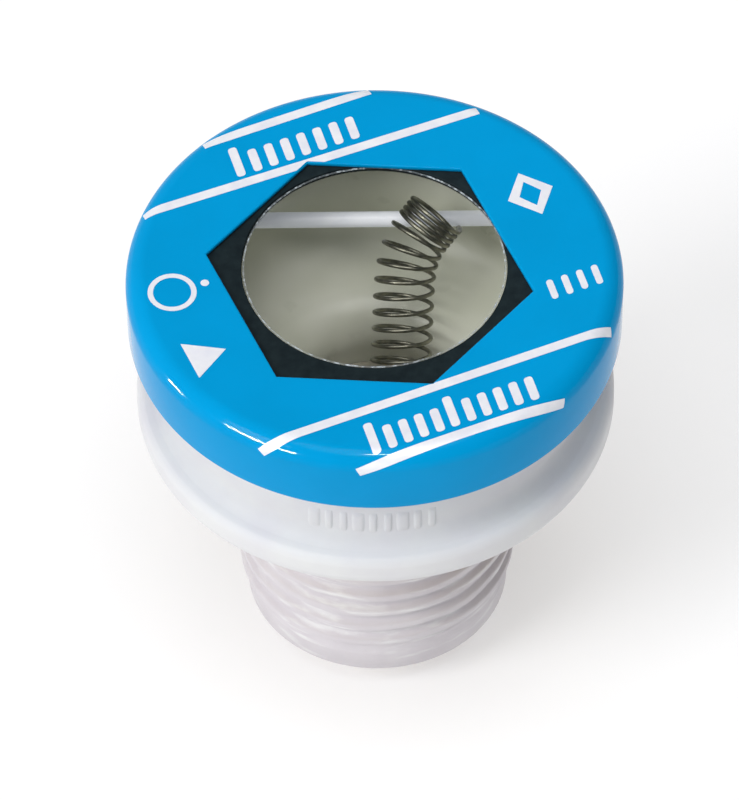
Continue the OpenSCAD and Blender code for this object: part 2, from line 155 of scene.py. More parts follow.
def lathe(profile, segments, closed=True, shift=None):
    """Turns a profile of (r, z) points about Z. shift(angle, r, z) may return a changed (r, z)."""
    verts, faces = [], []
    rows = len(profile)
    for r, z in profile:
        for k in range(segments):
            a = 2 * math.pi * k / segments
            rr, zz = shift(a, r, z) if shift else (r, z)
            verts.append((rr * math.cos(a), rr * math.sin(a), zz))
    for i in range(rows if closed else rows - 1):
        j = (i + 1) % rows
        for k in range(segments):
            n = (k + 1) % segments
            faces.append((i * segments + k, i * segments + n, j * segments + n, j * segments + k))
    if not closed:
        faces.append(tuple(range(segments)))
        faces.append(tuple(reversed(range((rows - 1) * segments, rows * segments))))
    return verts, faces


def tube(path, radius, sides=12):
    """A round tube along a path, closed with blunt pointed ends."""
    first_side = Vector((0.3, 0.6, 0.75))   # any way that no path starts along
    points = [Vector(p) for p in path]
    last = len(points) - 1
    ways = [(points[min(last, i + 1)] - points[max(0, i - 1)]).normalized() for i in range(last + 1)]
    side = ways[0].cross(first_side).normalized()
    verts, faces = [], []
    for i, (point, way) in enumerate(zip(points, ways)):
        side = (side - way * side.dot(way)).normalized()
        other = way.cross(side)
        for k in range(sides):
            a = 2 * math.pi * k / sides
            verts.append(tuple(point + radius * (math.cos(a) * side + math.sin(a) * other)))
        if i:
            row = (i - 1) * sides
            for k in range(sides):
                n = (k + 1) % sides
                faces.append((row + k, row + n, row + sides + n, row + sides + k))
    for end, sign in ((0, -1), (last, 1)):
        row = end * sides
        tip = len(verts)
        verts.append(tuple(points[end] + ways[end] * sign * radius * TIP_SHARE))
        for k in range(sides):
            n = (k + 1) % sides
            faces.append((row + n, row + k, tip) if sign < 0 else (row + k, row + n, tip))
    return verts, faces


def piece(name, shape, material, body="root", slot=None, stands_for=(), sharp=35):
    """Makes a mesh piece from a shape in millimetres, and ties it to a body of the frame."""
    verts, faces = shape
    mesh = bpy.data.meshes.new(name)
    mesh.from_pydata([tuple(c * MM for c in v) for v in verts], [], faces)
    work = bmesh.new()
    work.from_mesh(mesh)
    bmesh.ops.recalc_face_normals(work, faces=work.faces)
    work.to_mesh(mesh)
    work.free()
    mesh.shade_smooth()
    mesh.set_sharp_from_angle(angle=math.radians(sharp))
    obj = bpy.data.objects.new(name, mesh)
    bpy.context.scene.collection.objects.link(obj)
    for m in material if isinstance(material, (list, tuple)) else [material]:
        mesh.materials.append(m)
    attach(obj, body)
    if stands_for:
        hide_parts(*stands_for)
    return obj


def bevelled_copy(node, name, material, width, slot, body="root"):
    """A copy of a CAD node with its sharp edges rounded."""
    same_spot = 0.002 * MM
    same_plane = math.radians(1)
    sharp_edge = math.radians(40)
    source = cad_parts[node]
    work = bmesh.new()
    work.from_mesh(source.data)
    bmesh.ops.remove_doubles(work, verts=work.verts, dist=same_spot)
    bmesh.ops.dissolve_limit(work, angle_limit=same_plane, verts=work.verts, edges=work.edges)
    edges = [e for e in work.edges if len(e.link_faces) == 2 and e.calc_face_angle() > sharp_edge]
    bmesh.ops.bevel(
        work, geom=edges, offset=width * MM, segments=2, profile=0.6, affect="EDGES", clamp_overlap=True
    )
    bmesh.ops.triangulate(work, faces=[f for f in work.faces if len(f.verts) > 4])
    verts = [tuple(c / MM for c in v.co) for v in work.verts]
    work.verts.index_update()
    faces = [tuple(v.index for v in f.verts) for f in work.faces]
    work.free()
    return piece(name, (verts, faces), material, body, slot, (node,))


# ---------------------------------------------------------------- materials

NOISE_LOW, NOISE_HIGH = 0.3, 0.7    # a noise texture's values lie mostly between these
RAMP_LOW, RAMP_HIGH = 0.32, 0.68    # where the colour ramp starts and ends
GLOSS_GRAIN = 0.6                   # the gloss is this much finer than the colour
RELIEF_DETAIL = 5.0


def linear(red, green, blue):
    """Linear colour of an sRGB colour given as 0 to 255."""
    out = []
    for value in (red, green, blue):
        c = value / 255
        out.append(c / 12.92 if c <= 0.04045 else ((c + 0.055) / 1.055) ** 2.4)
    return (*out, 1.0)


def add_noise(nodes, links, place, grain, detail=4.0):
    """A noise texture whose spots are about `grain` millimetres wide."""
    texture = nodes.new("ShaderNodeTexNoise")
    texture.inputs["Scale"].default_value = 1 / (grain * MM)
    texture.inputs["Detail"].default_value = detail
    links.new(place.outputs["Object"], texture.inputs["Vector"])
    return texture


def add_range(nodes, links, source, low, high):
    """Maps the middle part of a noise texture to a range of values."""
    spread = nodes.new("ShaderNodeMapRange")
    spread.inputs["From Min"].default_value = NOISE_LOW
    spread.inputs["From Max"].default_value = NOISE_HIGH
    spread.inputs["To Min"].default_value = low
    spread.inputs["To Max"].default_value = high
    links.new(source, spread.inputs["Value"])
    return spread.outputs["Result"]


def finish_material(name, dark, light, grain, roughness, bump=0.0, bump_grain=0.3, **settings):
    """A material that wanders between two colours, with noise in its roughness and surface too.

    The grains are the widths of the spots and the bump is the height of the relief, in millimetres.
    """
    material = bpy.data.materials.new(name)
    material.use_nodes = True
    nodes, links = material.node_tree.nodes, material.node_tree.links
    shader = nodes["Principled BSDF"]
    place = nodes.new("ShaderNodeTexCoord")
    spots = add_noise(nodes, links, place, grain)
    ramp = nodes.new("ShaderNodeValToRGB")
    ramp.color_ramp.elements[0].position = RAMP_LOW
    ramp.color_ramp.elements[0].color = dark
    ramp.color_ramp.elements[1].position = RAMP_HIGH
    ramp.color_ramp.elements[1].color = light
    links.new(spots.outputs["Fac"], ramp.inputs["Fac"])
    links.new(ramp.outputs["Color"], shader.inputs["Base Color"])
    gloss = add_noise(nodes, links, place, grain * GLOSS_GRAIN)
    links.new(add_range(nodes, links, gloss.outputs["Fac"], *roughness), shader.inputs["Roughness"])
    if bump:
        relief = add_noise(nodes, links, place, bump_grain, RELIEF_DETAIL)
        node = nodes.new("ShaderNodeBump")
        node.inputs["Strength"].default_value = 1.0
        node.inputs["Distance"].default_value = bump * MM
        links.new(relief.outputs["Fac"], node.inputs["Height"])
        links.new(node.outputs["Normal"], shader.inputs["Normal"])
    for key, value in settings.items():
        shader.inputs[key.replace("_", " ")].default_value = value
    return material


def blue_paint():
    return finish_material(
        "blue enamel", linear(0, 150, 210), linear(0, 154, 216), 5.0, (0.05, 0.09),
        bump=0.002, bump_grain=1.2, Specular_IOR_Level=0.05,
    )


def white_print():
    return finish_material(
        "white print", linear(228, 230, 240), linear(240, 241, 246), 1.0, (0.3, 0.42),
        bump=0.003, bump_grain=0.3,
    )


def white_moulding():
    return finish_material(
        "white moulding", linear(222, 221, 225), linear(229, 230, 230), 4.0, (0.45, 0.58),
        bump=0.012, bump_grain=0.8, Specular_IOR_Level=0.3,
    )


def thread_moulding():
    """Rougher white moulding, with pale streaks that run around the thread."""
    material = finish_material(
        "rough moulding", linear(216, 211, 216), linear(223, 219, 223), 2.4, (0.45, 0.6),
        bump=0.02, bump_grain=0.35, Specular_IOR_Level=0.25,
    )
    streak_grain = 1.1
    along, upright = 0.35, 2.0          # the streaks are drawn out around the thread and thin in height
    nodes, links = material.node_tree.nodes, material.node_tree.links
    squeeze = nodes.new("ShaderNodeMapping")
    squeeze.inputs["Scale"].default_value = (along, along, upright)
    links.new(nodes["Texture Coordinate"].outputs["Object"], squeeze.inputs["Vector"])
    streaks = nodes.new("ShaderNodeTexNoise")
    streaks.inputs["Scale"].default_value = 1 / (streak_grain * MM)
    streaks.inputs["Detail"].default_value = RELIEF_DETAIL
    links.new(squeeze.outputs["Vector"], streaks.inputs["Vector"])
    cover = nodes.new("ShaderNodeMapRange")
    cover.inputs["From Min"].default_value = 0.54
    cover.inputs["From Max"].default_value = 0.7
    cover.inputs["To Max"].default_value = 0.85
    links.new(streaks.outputs["Fac"], cover.inputs["Value"])
    mix = nodes.new("ShaderNodeMix")
    mix.data_type = "RGBA"
    mix.inputs["B"].default_value = linear(240, 240, 240)
    links.new(cover.outputs["Result"], mix.inputs["Factor"])
    links.new(nodes["Color Ramp"].outputs["Color"], mix.inputs["A"])
    links.new(mix.outputs["Result"], nodes["Principled BSDF"].inputs["Base Color"])
    return material


def cavity_moulding():
    return finish_material(
        "cavity glaze", linear(218, 220, 202), linear(230, 231, 216), 4.0, (0.26, 0.36),
        bump=0.01, bump_grain=1.6,
    )


def black_fibre():
    return finish_material(
        "black fibre", linear(14, 27, 32), linear(25, 38, 42), 0.7, (0.55, 0.75),
        bump=0.02, bump_grain=0.2, Specular_IOR_Level=0.15,
    )


def grey_fibre():
    return finish_material(
        "grey fibre", linear(138, 134, 118), linear(168, 163, 146), 0.8, (0.6, 0.8),
        bump=0.03, bump_grain=0.25,
    )


def pale_gasket():
    return finish_material(
        "pale gasket", linear(206, 200, 184), linear(228, 224, 210), 0.8, (0.7, 0.85),
        bump=0.02, bump_grain=0.2,
    )


def white_rod():
    # The emission is a painted glow: the rod is no lamp, and this makes it shine brighter than the light
    # that reaches it.
    return finish_material(
        "white rod", linear(236, 238, 242), linear(245, 246, 248), 1.5, (0.25, 0.35),
        bump=0.006, bump_grain=0.5, Emission_Color=linear(225, 233, 245), Emission_Strength=0.22,
    )


def metal(name, dark, light, roughness, grain=0.8, bump=0.01):
    return finish_material(name, dark, light, grain, roughness, bump=bump, bump_grain=0.2, Metallic=1.0)


def clear_pane(name, alpha, roughness, tint):
    """Clear moulded glass, seen through by its alpha."""
    paler = (*[min(1.0, c * 1.05) for c in tint[:3]], 1.0)
    material = finish_material(name, tint, paler, 3.0, roughness, bump=0.004, bump_grain=1.5)
    shader = material.node_tree.nodes["Principled BSDF"]
    shader.inputs["Alpha"].default_value = alpha
    return material


def pane_edge_painted_glint():
    """The pane's cut edge: its gloss is real, and its whitish flecks are a painted glint."""
    material = clear_pane("pane edge", 0.5, (0.05, 0.25), linear(205, 215, 222))
    nodes, links = material.node_tree.nodes, material.node_tree.links
    shader = nodes["Principled BSDF"]
    place = nodes["Texture Coordinate"]
    # painted glint: these flecks let the whitish edge colour show as sparkles of light
    flecks = add_noise(nodes, links, place, 0.35, 2.0)
    cover = nodes.new("ShaderNodeMapRange")
    cover.inputs["From Min"].default_value = 0.5
    cover.inputs["From Max"].default_value = 0.72
    cover.inputs["To Min"].default_value = 0.1
    cover.inputs["To Max"].default_value = 1.0
    links.new(flecks.outputs["Fac"], cover.inputs["Value"])
    links.new(cover.outputs["Result"], shader.inputs["Alpha"])
    return material


# ---------------------------------------------------------------- cap

def hex_corners():
    """Corners of the cap's opening."""
    corners = []
    kinds = len(HEX_SHARES)
    for i in range(HEX_SIDES):
        a = math.radians(HEX_TURN + 360 / HEX_SIDES * i + HEX_LEANS[i % kinds])
        reach = HEX_SIZE * HEX_SHARES[i % kinds]
        corners.append(HEX_MIDDLE + reach * Vector((math.cos(a), math.sin(a))))
    return corners


def cap_rays():
    """Angle of each of the cap's columns, and its distance to the edge of the opening."""
    columns = 60
    corners = hex_corners()
    rays = []
    for i, corner in enumerate(corners):
        after = corners[(i + 1) % HEX_SIDES]
        for k in range(columns):
            spot = corner.lerp(after, k / columns)
            rays.append((math.atan2(spot.y, spot.x), spot.length))
    return rays


def cap_shape():
    """The sheet-metal cap: a ring whose inner edge is the hexagon."""
    top = TOP_Z - SKIN
    under = TOP_Z - CAP_SHEET
    flat_r = CAP_R - CAP_EDGE_R
    taper = 0.05                # the skirt draws in a little towards its crimped edge
    foot_r = CAP_R - taper - CAP_SHEET
    curl_r = CAP_R - CAP_SHEET - CAP_CURL
    curl_z = CAP_LOW.z
    cut = RIM_R * 0.3           # where the middle of the opening's rounded edge lies
    guard = 0.06                # a narrow flat row keeps the shading of the rounded edge to itself
    outside = arc((flat_r, top - CAP_EDGE_R), CAP_EDGE_R, 90, 0, 28)
    outside += arc((foot_r, curl_z + CAP_SHEET), CAP_SHEET, 0, -90, 6)
    inside = [(curl_r, curl_z), (curl_r, curl_z + CAP_SHEET), (foot_r, curl_z + CAP_SHEET)]
    inside += arc((flat_r, top - CAP_EDGE_R), CAP_EDGE_R - CAP_SHEET, 0, 90, 8)
    rays = cap_rays()
    verts, faces = [], []
    for a, edge in rays:
        column = [(edge, under + RIM_R), (edge, top - RIM_R), (edge + cut, top - cut)]
        column += [(edge + RIM_R, top), (edge + RIM_R + guard, top)]
        column += [((edge + flat_r) / 2, top), (flat_r - 2 * taper, top)]
        column += outside + inside
        column += [(edge + RIM_R, under)]
        verts += [(r * math.cos(a), r * math.sin(a), z) for r, z in column]
    rows = len(verts) // len(rays)
    for c in range(len(rays)):
        d = (c + 1) % len(rays)
        for i in range(rows):
            j = (i + 1) % rows
            faces.append((c * rows + i, d * rows + i, d * rows + j, c * rows + j))
    return verts, faces


PRINT_TURN = math.radians(23)   # the marks are turned by this about the screw axis
PRINT_GAP = 0.002               # how far the print lies inside the CAD cap
PRINT_Z = TOP_Z - PRINT_GAP
PRINT_CELL = 0.1                # length of the print's faces


def on_sheet(x, y):
    """Where a point of the flat printed sheet lies once the sheet is drawn over the cap's edge."""
    flat_r = CAP_R - CAP_EDGE_R
    s = math.hypot(x, y)
    if s <= flat_r:
        return x, y, PRINT_Z
    over = s - flat_r
    bend = CAP_EDGE_R + SKIN - PRINT_GAP
    quarter = bend * math.pi / 2
    if over < quarter:
        a = over / bend
        r, z = flat_r + bend * math.sin(a), PRINT_Z - bend + bend * math.cos(a)
    else:
        r, z = flat_r + bend, PRINT_Z - bend - (over - quarter)
    return x / s * r, y / s * r, z


def turned(u, v):
    """A point of the print, given along and across its lines, on the sheet."""
    c, s = math.cos(PRINT_TURN), math.sin(PRINT_TURN)
    return u * c - v * s, u * s + v * c


def strip(rows):
    """A printed shape built from rows of points: each row is (v, u start, u end)."""
    columns = max(2, int(max(end - start for v, start, end in rows) / PRINT_CELL))
    verts, faces = [], []
    for v, start, end in rows:
        for k in range(columns + 1):
            verts.append(on_sheet(*turned(start + (end - start) * k / columns, v)))
    for i in range(len(rows) - 1):
        for k in range(columns):
            a = i * (columns + 1) + k
            faces.append((a, a + 1, a + columns + 2, a + columns + 1))
    return verts, faces


def off_opening(x, y):
    """A point of the print, moved out to the opening's rounded edge if it lies over the opening."""
    corners = hex_corners()
    gaps = []
    for i, corner in enumerate(corners):
        along = (corners[(i + 1) % HEX_SIDES] - corner).normalized()
        outward = Vector((along.y, -along.x))
        gaps.append((outward.dot(Vector((x, y)) - corner) - RIM_R, outward))
    gap, outward = max(gaps, key=lambda pair: pair[0])
    over = min(gap, 0.0)
    return x - over * outward.x, y - over * outward.y, over < 0


def stripe(offset, start, end, width, turn):
    """A straight printed stripe with its own turn about the screw axis, cut where it meets the opening."""
    c, s = math.cos(math.radians(turn)), math.sin(math.radians(turn))
    rows = 9
    columns = int((end - start) / PRINT_CELL)
    verts, faces, moved = [], [], []
    for i in range(rows):
        v = offset + width * (i / (rows - 1) - 0.5)
        for k in range(columns + 1):
            u = start + (end - start) * k / columns
            x, y, over = off_opening(u * c - v * s, u * s + v * c)
            verts.append(on_sheet(x, y))
            moved.append(over)
            if i and k:
                a = (i - 1) * (columns + 1) + k - 1
                face = (a, a + 1, a + columns + 2, a + columns + 1)
                if not all(moved[corner] for corner in face):
                    faces.append(face)
    return verts, faces


def plate(u, v, width, height, corner, lean=0.0):
    """A printed rectangle with rounded corners about a point of the print."""
    steps = 20
    rows = []
    for i in range(steps + 1):
        y = -height / 2 * math.cos(math.pi * i / steps)
        into = max(0.0, abs(y) - (height / 2 - corner))
        half = width / 2 - corner + math.sqrt(max(0.0, corner ** 2 - into ** 2))
        rows.append((v + y, u + lean * y - half, u + lean * y + half))
    return strip(rows)


def ring_mark(u, v, radius, stroke):
    """A plain printed ring."""
    steps = 40
    verts, faces = [], []
    for k in range(steps):
        a = 2 * math.pi * k / steps
        for r in (radius - stroke, radius):
            verts.append(on_sheet(*turned(u + r * math.cos(a), v + r * math.sin(a))))
        n = (k + 1) % steps
        faces.append((2 * k, 2 * k + 1, 2 * n + 1, 2 * n))
    return verts, faces


def triangle(u, v, width, height):
    """A plain printed triangle that points along the print's lines."""
    steps = 20
    blunt = 0.02                # share of the width that is left at the two blunt ends
    rows = []
    for i in range(steps + 1):
        y = height * (i / steps - 0.5)
        left = u - width / 2
        rows.append((v + y, left, left + width * (1 - 2 * (1 - blunt) * abs(y) / height)))
    return strip(rows)


def open_diamond(u, v, width, height, stroke):
    """A plain printed diamond with an open middle."""
    ways = ((1, 0), (0, 1), (-1, 0), (0, -1))
    verts = []
    for cut in (0, stroke):
        for x, y in ways:
            verts.append(on_sheet(*turned(u + x * (width / 2 - cut), v + y * (height / 2 - cut))))
    return verts, [(k, (k + 1) % 4, 4 + (k + 1) % 4, 4 + k) for k in range(4)]


def joined(shapes):
    """Several shapes as one."""
    verts, faces = [], []
    for more, new in shapes:
        base = len(verts)
        verts += more
        faces += [tuple(base + i for i in f) for f in new]
    return verts, faces


def bar_row(u, v, length, heights, width=0.55):
    """A row of plain upright bars in place of a word, standing on one line."""
    corner, lean = 0.2, 0.12
    step = (length - width) / (len(heights) - 1)
    start = u - (length - width) / 2
    foot = v - max(heights) / 2
    return [
        plate(start + i * step, foot + h / 2, width, h, corner, lean) for i, h in enumerate(heights)
    ]


def cap_print():
    """The white print: four stripes, and plain shapes where the real cap has words."""
    tall, short, small = 2.3, 1.75, 1.5
    shapes = [                  # distance from the screw axis, start, end, width, turn
        stripe(13.0, -5.5, 5.3, 0.6, 22.9),
        stripe(9.17, -11.1, 10.4, 0.6, 21.7),
        stripe(-9.81, -11.8, 11.2, 0.6, 23.1),
        stripe(-13.68, -7.0, 6.6, 0.62, 22.9),
    ]
    shapes += bar_row(-0.5, 10.95, 7.9, [tall] + [short] * 7)
    shapes += bar_row(-0.27, -11.9, 10.6, [tall] + [short] * 4 + [tall] + [short] * 5)
    shapes.append(open_diamond(10.8, 1.65, 2.9, 3.5, 0.75))
    shapes += bar_row(10.4, -5.7, 3.3, [small] * 4, 0.42)
    shapes.append(triangle(-11.6, -2.2, 2.3, 2.8))
    shapes.append(ring_mark(-11.65, 3.1, 1.45, 0.32))
    shapes.append(plate(-9.6, 3.0, 0.5, 0.5, 0.24))
    return joined(shapes)


def make_cap():
    """Makes the painted cap and its print, and returns both."""
    settings = {"slot": "cap_paint", "stands_for": ("cap_shell",)}
    cap = piece("cap", cap_shape(), blue_paint(), sharp=50, **settings)
    print_piece = piece("cap_print", cap_print(), white_print(), sharp=60, **settings)
    return cap, print_piece


# ---------------------------------------------------------------- window

PANE_GAP = 0.08                 # between the pane's raised middle and the washer's hole


def off_centre(shape, inside):
    """Moves the points of a shape that lie inside a radius to the middle of the window."""
    verts, faces = shape
    return [(x, y + WINDOW_SHIFT * (math.hypot(x, y) < inside), z) for x, y, z in verts], faces


def washer_shape():
    """The black washer, with a slightly uneven punched edge."""
    waves, height = 9, 0.03
    near_hole = WINDOW_R + 1

    def punched(angle, r, z):
        """Makes the edge of the hole uneven, and leaves the washer's outside alone."""
        if r > near_hole:
            return r, z
        wave = noise.noise(Vector((math.cos(angle) * waves, math.sin(angle) * waves, z)))
        return r + height * max(0, wave), z

    profile = [
        (WINDOW_R, WASHER_LOW.z), (WASHER_HIGH.x, WASHER_LOW.z),
        (WASHER_HIGH.x, WASHER_HIGH.z), (WINDOW_R, WASHER_HIGH.z),
    ]
    return off_centre(lathe(soften(profile, 0.07), 288, shift=punched), near_hole)


def pane_shape():
    """The clear pane with its raised middle."""
    boss_r = WINDOW_R - PANE_GAP
    axis_r = 0.02               # the lathe closes what is left at the axis with a flat face
    profile = [
        (axis_r, PANE_LOW.z), (PANE_HIGH.x, PANE_LOW.z), (PANE_HIGH.x, WASHER_LOW.z),
        (boss_r, WASHER_LOW.z), (boss_r, PANE_HIGH.z), (axis_r, PANE_HIGH.z),
    ]
    return off_centre(lathe(soften(profile, 0.1, closed=False), 192, closed=False), boss_r + 0.2)


def edge_shape():
    """The chipped edge of the pane's raised middle, which carries the painted glint."""
    chips, depth = 30, 0.03
    bead_r = 0.055
    middle = (WINDOW_R - 0.1, PANE_HIGH.z - 0.04)

    def chipped(angle, r, z):
        """Takes small chips out of the edge."""
        wave = noise.noise(Vector((math.cos(angle) * chips, math.sin(angle) * chips, 0.5)))
        return r - depth * abs(wave), z

    return off_centre(lathe(arc(middle, bead_r, 0, 330, 11), 480, shift=chipped), WINDOW_R + 1)


def make_window():
    """Makes the washer, the clear pane and the pane's edge with its painted glint."""
    piece("washer", washer_shape(), black_fibre(), slot="black_fibre", stands_for=("window_washer",))
    glass = clear_pane("clear pane", 0.06, (0.03, 0.08), linear(60, 64, 64))
    piece("pane", pane_shape(), glass, slot="clear_pane", stands_for=("window_pane",))
    # the pane's edge carries a painted glint
    piece("pane_edge_painted_glint", edge_shape(), pane_edge_painted_glint(), slot="clear_pane", stands_for=("window_pane",))


# ---------------------------------------------------------------- body

BODY_COLUMNS = 288
THREAD_LOW = BASE_Z + PILOT_H + 0.5
THREAD_HIGH = FLANGE_Z - 1.6
THREAD_ROW = 0.08               # height of the thread's rows
THREAD_CREST = 0.12             # half the crest's width, as a share of the pitch
THREAD_FLANK = 0.3              # width of each flank, as a share of the pitch
THREAD_RUN_OUT = 0.25           # turns over which the ridge grows at its ends
SEEN_DEPTH = 0.36               # the moulded grooves are a little deeper than the nominal thread
CONTACT_BORE_R = 1.35           # the bore for the centre contact's shank


def ridge_height(angle, z):
    """Height of the thread ridge, from 0 in the groove to 1 on the crest, with its ends run out."""
    turns = (THREAD_HIGH - THREAD_LOW) / THREAD_PITCH
    at = (z - THREAD_LOW) / THREAD_PITCH - angle / (2 * math.pi)
    nearest = min(max(round(at), 0), int(turns))
    away = abs(at - nearest)
    ridge = 1 - min(1.0, max(0.0, (away - THREAD_CREST) / THREAD_FLANK))
    place = nearest + angle / (2 * math.pi)
    grown = min(1.0, max(0.0, min(place, turns - place) / THREAD_RUN_OUT + 0.05))
    return ridge * ridge * (3 - 2 * ridge) * grown


def cast(angle, r, z):
    """Shifts a point of the base: the thread, and the unevenness of a rough moulding."""
    margin = 0.05
    on_base = BASE_Z + PILOT_H - margin < z < RING_LOW.z - margin
    if not (on_base and PILOT_R < r < THREAD_R + margin):
        return r, z
    spot = Vector((r * math.cos(angle), r * math.sin(angle), z))
    along = Vector((spot.x * 0.45, spot.y * 0.45, z * 2.4))         # long, thin streaks
    across = Vector((spot.x * 0.35, spot.y * 0.35, z * 0.5))        # slow waves in the ridge's height
    streak = 0.05 * noise.noise(along) + 0.025 * noise.noise(along * 2.7)
    wave = 0.14 * noise.noise(across)
    height = ridge_height(angle, z + wave)
    return min(THREAD_R, THREAD_R - SEEN_DEPTH + SEEN_DEPTH * height + streak), z


def body_profile():
    """The moulded body's outside, and then its inside, as two runs of one closed profile."""
    core_r = THREAD_R - THREAD_DEPTH
    head_r = CAP_R - CAP_SHEET - 0.15
    head_z = CAP_LOW.z + CAP_SHEET + 0.2        # underside of the head, above the cap's crimped edge
    cove_r, cove_up = 1.4, 0.75                 # hollow between the neck and the flange
    top_r, top_drop = 0.68, 1.23                # rounding of the flange's upper edge
    under_r = 1.0
    shoulder_r = THREAD_R + 0.4                 # where the side contact's hole ends
    thread_top = RING_LOW.z - 0.1
    chamfer, step = 0.25, 0.2
    head = [
        (CAVITY_R, BODY_HIGH.z), (head_r, BODY_HIGH.z), (head_r, head_z),
        (NECK_R, head_z), (NECK_R, NECK_Z + 2),
    ]
    neck = arc((NECK_R + cove_r, NECK_Z + cove_up), cove_r, 180, 248, 14)
    flange = arc((FLANGE_R - top_r, NECK_Z - top_drop), top_r, 70, 0, 10)
    flange += arc((FLANGE_R - under_r, FLANGE_Z + under_r), under_r, 0, -90, 12)
    recess = [(shoulder_r, FLANGE_Z), (shoulder_r, RING_LOW.z), (core_r, RING_LOW.z)]
    rows = int((thread_top - BASE_Z - PILOT_H) / THREAD_ROW)
    thread = [(core_r, thread_top - THREAD_ROW * i) for i in range(rows + 1)]
    pilot = [
        (core_r, BASE_Z + PILOT_H), (PILOT_R, BASE_Z + PILOT_H - step),
        (PILOT_R, BASE_Z + chamfer), (PILOT_R - chamfer, BASE_Z), (CONTACT_BORE_R, BASE_Z),
    ]
    outside = soften(head, 0.08, closed=False) + neck + flange + soften(recess, 0.1, closed=False)
    outside += thread + pilot
    inside = [(CONTACT_BORE_R, FLOOR_Z), (WELL_R, FLOOR_Z)]
    inside += [
        (LIP_R - (LIP_R - WELL_R) * math.cos(a), LIP_Z - LIP_RISE * (1 - math.sin(a)))
        for a in np.linspace(0, math.pi / 2, 17)
    ]
    inside += [
        (LIP_R + (CAVITY_R - LIP_R) * math.sin(a), LIP_Z + LIP_RISE * (1 - math.cos(a)))
        for a in np.linspace(0, math.pi / 2, 21)[1:]
    ]
    inside.append((CAVITY_R, BODY_HIGH.z - 0.3))
    return outside, inside


def make_body():
    """Makes the moulded body, with other materials on its base and in its cavity."""
    settings = {"slot": "white_moulding", "stands_for": ("body",)}
    moulding = white_moulding()
    outside, inside = body_profile()
    shape = lathe(outside + inside, BODY_COLUMNS, shift=cast)
    obj = piece(
        "moulded_body", shape, [moulding, thread_moulding(), cavity_moulding()], sharp=45, **settings
    )
    thread_slot, cavity_slot = 1, 2
    for polygon in obj.data.polygons:
        row = polygon.index // BODY_COLUMNS
        if row >= len(outside) - 1:
            polygon.material_index = cavity_slot
        elif polygon.center.z / MM < RING_LOW.z:
            polygon.material_index = thread_slot
    piece("neck_marks", neck_marks(), moulding, sharp=60, **settings)


def neck_marks():
    """Plain raised bars around the front of the neck, with soft edges."""
    count, spacing, front = 9, 4, -91   # how many, and degrees about the screw axis
    narrow, wide, half_height = 0.26, 0.42, 0.95
    middle_z = NECK_Z + 1.15
    height, sunk = 0.12, 0.03           # how proud a bar stands, and how deep its edges lie in the neck
    steps = 8
    marks = []
    for i in range(count):
        middle = math.radians(front + (i - (count - 1) / 2) * spacing)
        half = narrow if i % 3 else wide
        verts, faces = [], []
        for row in range(steps + 1):
            v = 2 * row / steps - 1
            for column in range(steps + 1):
                u = 2 * column / steps - 1
                r = NECK_R - sunk + (1 - u ** 4) * (1 - v ** 6) * height
                a = middle + u * half / NECK_R
                verts.append((r * math.cos(a), r * math.sin(a), middle_z + half_height * v))
                if row and column:
                    k = row * (steps + 1) + column
                    faces.append((k, k - 1, k - steps - 2, k - steps - 1))
        marks.append((verts, faces))
    return joined(marks)


# ---------------------------------------------------------------- trip

BAR_Y = (BAR_LOW.y + BAR_HIGH.y) / 2
BAR_Z = (BAR_LOW.z + BAR_HIGH.z) / 2
BAR_R = (BAR_HIGH.z - BAR_LOW.z) / 2


def bar_shape():
    """The cross bar."""
    half = BAR_HIGH.x - BAR_R * TIP_SHARE
    return tube([(x, BAR_Y, BAR_Z) for x in np.linspace(-half, half, 60)], BAR_R, 40)


SPRING_D = 3.7
WIRE_D = 0.26
WIRE_R = WIRE_D / 2
COIL_R = SPRING_D / 2 - WIRE_R
LEAN = math.radians(47)         # the bunch sits this far forward of the bar's top
BAR_TO_BUNCH = Vector((0, -math.sin(LEAN), math.cos(LEAN)))
BUNCH_X = 3.3
UPPER_WAY = -Vector((0.63, 0.471, 0.602)).normalized()      # down the bunch
LOWER_WAY = Vector((-0.05, -0.61, -0.79)).normalized()      # down the open turns
BEND = 4.6                      # length over which the spring turns from one to the other
TIGHT_PITCH = WIRE_D + 0.09
OPEN_PITCH = 0.97
BUNCH_TURNS = 4.05
OPEN_TURNS = 10.0
BUNCH = Vector((BUNCH_X, BAR_Y, BAR_Z)) + BAR_TO_BUNCH * (SPRING_D / 2 + BAR_R + 0.1)
BUNCH_FOOT = BUNCH + UPPER_WAY * BUNCH_TURNS * TIGHT_PITCH / 2
EYE_HOLE = Vector((1.0, 0, FLANGE_Z - 0.8))     # the hole in the pin's eye
NUDGE = 0.01                    # step to either side for the direction of a curve


def spring_middle(s):
    """Middle line of the spring at a length s below the bunch."""
    left = 1 - max(0.0, min(1.0, s / BEND))
    upper = s if s < 0 else BEND / 3 * (1 - left ** 3)
    return BUNCH_FOOT + UPPER_WAY * upper + LOWER_WAY * max(0.0, s - upper)


def spring_axes(n):
    """Middle point and cross directions of the spring after n turns."""
    s = (min(n, BUNCH_TURNS) - BUNCH_TURNS) * TIGHT_PITCH + max(n - BUNCH_TURNS, 0) * OPEN_PITCH
    along = (spring_middle(s + NUDGE) - spring_middle(s - NUDGE)).normalized()
    across = along.cross(Vector((1, 0, 0))).normalized()
    return spring_middle(s), across, along.cross(across)


UPPER_ACROSS = UPPER_WAY.cross(Vector((1, 0, 0))).normalized()
START_ANGLE = math.pi / 2 + math.atan2(
    -BAR_TO_BUNCH.dot(UPPER_WAY.cross(UPPER_ACROSS)), -BAR_TO_BUNCH.dot(UPPER_ACROSS)
)


def coil_point(n):
    """Centre of the wire after n turns."""
    middle, across, other = spring_axes(n)
    a = 2 * math.pi * n + START_ANGLE
    return middle + COIL_R * (math.cos(a) * across + math.sin(a) * other)


def coil_way(n):
    """Direction of the wire after n turns."""
    return (coil_point(n + NUDGE) - coil_point(n - NUDGE)).normalized()


